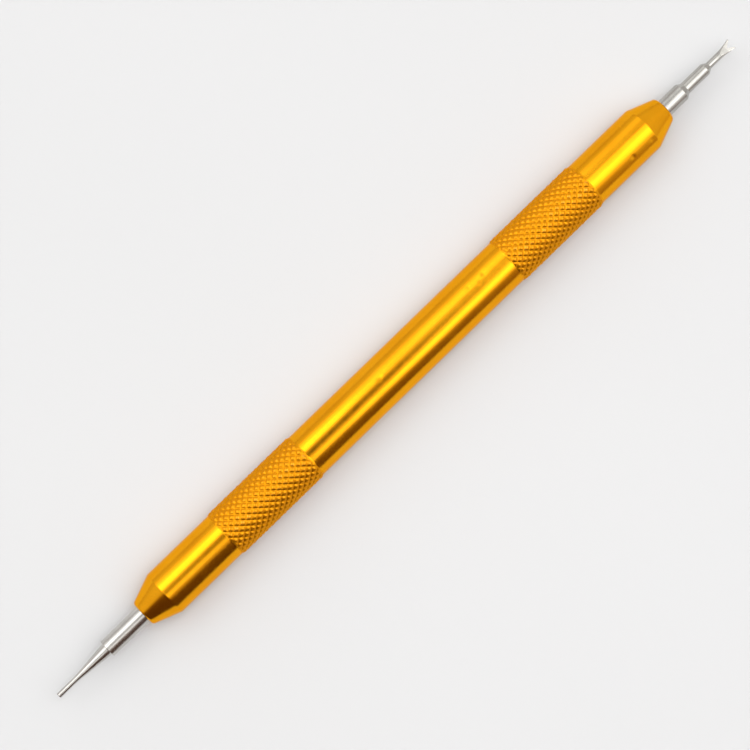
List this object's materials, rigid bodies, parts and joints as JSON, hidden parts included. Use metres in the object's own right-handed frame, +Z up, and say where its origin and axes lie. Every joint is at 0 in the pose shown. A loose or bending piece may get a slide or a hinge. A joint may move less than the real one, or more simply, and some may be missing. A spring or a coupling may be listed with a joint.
{
  "type": "spring bar tool",
  "caption": "Slim double-ended hand tool for watch straps: a knurled round handle with a forked tip screwed into one nose and a thin pin tip screwed into the other.",
  "frame": {"origin": "on the surface that the tool lies on, under the middle of its whole length", "axes": "+X along the tool towards the forked tip, +Z up from the surface, +Y across the tool and along the fork's width"},
  "size_m": [0.14, 0.0078, 0.0079],
  "materials": {
    "anodised_handle": "turned and gold anodised, satin gloss",
    "fork_steel": "turned bright, milled and polished at the fork",
    "pin_steel": "turned bright"
  },
  "bodies": {
    "handle": {"handle": "anodised_handle"},
    "fork_tip": {"fork_tip": "fork_steel"},
    "pin_tip": {"pin_tip": "pin_steel"}
  },
  "joints": [
    {"name": "fork_tip_unscrew", "type": "slide", "parent": "handle", "child": "fork_tip", "axis": [1, 0, 0], "range_m": [0, 0.012]},
    {"name": "pin_tip_unscrew", "type": "slide", "parent": "handle", "child": "pin_tip", "axis": [-1, 0, 0], "range_m": [0, 0.012]}
  ]
}
